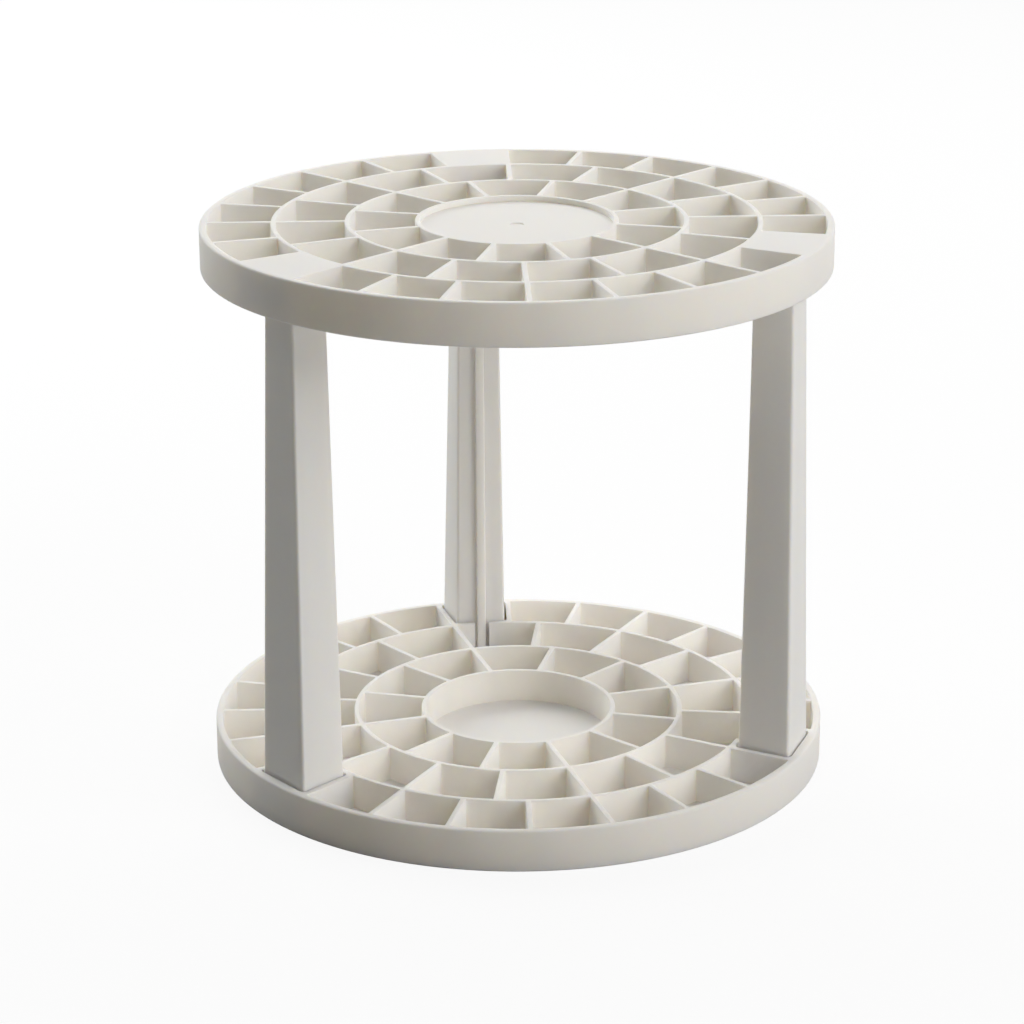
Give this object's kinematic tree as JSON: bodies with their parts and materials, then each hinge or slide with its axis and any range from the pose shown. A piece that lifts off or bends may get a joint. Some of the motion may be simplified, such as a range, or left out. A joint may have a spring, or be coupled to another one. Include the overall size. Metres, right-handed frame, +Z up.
{
  "type": "round brush and tool stand",
  "caption": "Round two-tier plastic stand with rings of open cells above matching pockets, held on plug-in legs, for brushes and small hobby tools.",
  "frame": {"origin": "centre of the flat underside of the base plate", "axes": "+Z up along the axis of the plates, +Y towards the back leg"},
  "size_m": [0.155, 0.155, 0.139],
  "materials": {
    "ivory_plastic": "satin injection-moulded ivory plastic"
  },
  "bodies": {
    "base_plate": {"base_plate": "ivory_plastic"},
    "top_plate": {"top_plate": "ivory_plastic"},
    "back_leg": {"back_leg": "ivory_plastic"},
    "left_leg": {"left_leg": "ivory_plastic"},
    "right_leg": {"right_leg": "ivory_plastic"}
  },
  "joints": [
    {"name": "back_leg_lift", "type": "slide", "parent": "base_plate", "child": "back_leg", "axis": [0, 0, 1], "range_m": [0, 0.02]},
    {"name": "left_leg_lift", "type": "slide", "parent": "base_plate", "child": "left_leg", "axis": [0, 0, 1], "range_m": [0, 0.02]},
    {"name": "right_leg_lift", "type": "slide", "parent": "base_plate", "child": "right_leg", "axis": [0, 0, 1], "range_m": [0, 0.02]},
    {"name": "top_plate_lift", "type": "slide", "parent": "back_leg", "child": "top_plate", "axis": [0, 0, 1], "range_m": [0, 0.03]}
  ],
  "couplings": [
    {"joint": "left_leg_lift", "follows": "back_leg_lift", "ratio": 1},
    {"joint": "right_leg_lift", "follows": "back_leg_lift", "ratio": 1}
  ]
}
